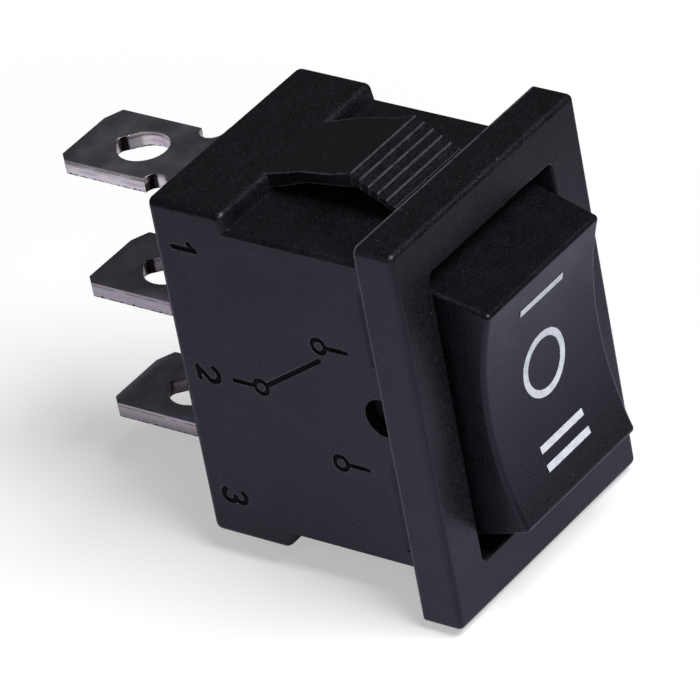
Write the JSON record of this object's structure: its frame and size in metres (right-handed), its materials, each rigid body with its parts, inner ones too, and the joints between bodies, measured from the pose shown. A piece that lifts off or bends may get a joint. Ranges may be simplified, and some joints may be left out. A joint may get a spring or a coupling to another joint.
{
  "type": "rocker switch",
  "caption": "Miniature black three-position rocker switch that snaps into a rectangular panel cut-out, with flat blade terminals at the rear.",
  "frame": {"origin": "centre of the panel cut-out, in the plane of the panel's front face on which the bezel seats", "axes": "+X across the bezel to the plain side, +Y through the panel towards the terminals, +Z along the bezel's long side towards the I end of the rocker"},
  "size_m": [0.015, 0.0266, 0.0218],
  "materials": {
    "housing_plastic": "fine spark-eroded matte nylon",
    "rocker_plastic": "satin nylon with white printed marks",
    "plunger_plastic": "smooth natural acetal",
    "spring_steel": "drawn steel wire",
    "copper_strip": "bare rolled copper",
    "contact_silver": "bright silver alloy",
    "plated_brass": "bright tin plating with sheared edges"
  },
  "bodies": {
    "base": {"housing": "housing_plastic", "terminal_upper": "plated_brass", "terminal_common": "plated_brass", "terminal_lower": "plated_brass", "fixed_contact_upper": "contact_silver", "fixed_contact_lower": "contact_silver"},
    "rocker": {"rocker": "rocker_plastic", "spring": "spring_steel"},
    "plunger": {"plunger": "plunger_plastic"},
    "seesaw": {"seesaw": "copper_strip", "seesaw_contact_upper": "contact_silver", "seesaw_contact_lower": "contact_silver"}
  },
  "joints": [
    {"name": "rocker_pivot", "type": "hinge", "parent": "base", "child": "rocker", "pos_m": [0, 0.0012, 0], "axis": [1, 0, 0], "range_deg": [-11, 11]},
    {"name": "plunger_slide", "type": "slide", "parent": "rocker", "child": "plunger", "axis": [0, -1, 0], "range_m": [0, 0.0008], "stiffness_N_per_m": 500, "springref_m": -0.0016, "deforming": ["spring"]},
    {"name": "seesaw_tilt", "type": "hinge", "parent": "base", "child": "seesaw", "pos_m": [0, 0.00938, 0], "axis": [1, 0, 0], "range_deg": [-5.5, 5.5]}
  ],
  "couplings": [
    {"joint": "seesaw_tilt", "follows": "rocker_pivot", "ratio": -0.5}
  ]
}
